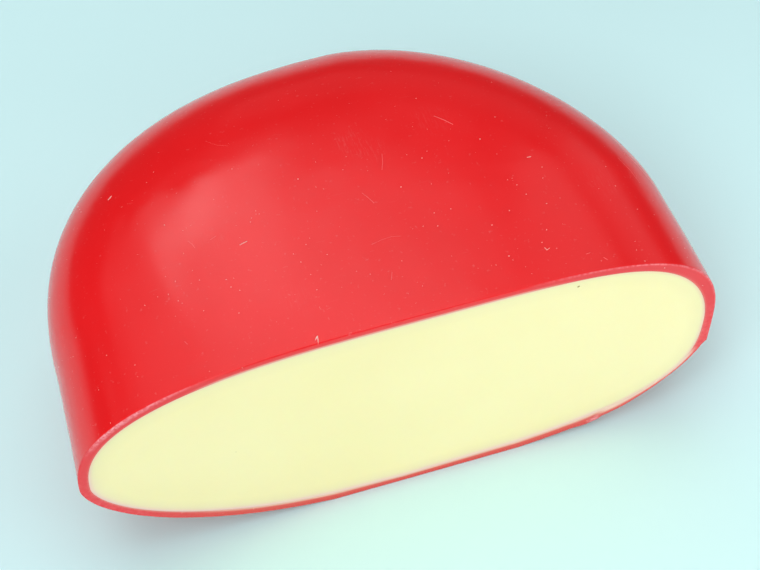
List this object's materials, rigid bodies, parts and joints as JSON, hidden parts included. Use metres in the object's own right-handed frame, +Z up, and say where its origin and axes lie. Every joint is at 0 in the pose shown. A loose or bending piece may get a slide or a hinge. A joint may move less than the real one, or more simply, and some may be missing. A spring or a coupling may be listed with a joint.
{
  "type": "half butter cheese display copy",
  "caption": "Half of a rounded butter cheese, a display copy, with a soft red coat and a pale yellow filling that shows at the flat cut.",
  "frame": {"origin": "on the surface it stands on, under the middle of its box", "axes": "+X along the width of the cut face, to the right seen from the cut, +Y from the cut towards the rounded back, +Z up"},
  "size_m": [0.185, 0.1174, 0.083],
  "materials": {
    "coat": "satin red moulded skin",
    "filling": "smooth pale yellow casting with a soft sheen"
  },
  "bodies": {
    "root": {"coat": "coat", "filling": "filling"}
  },
  "joints": []
}
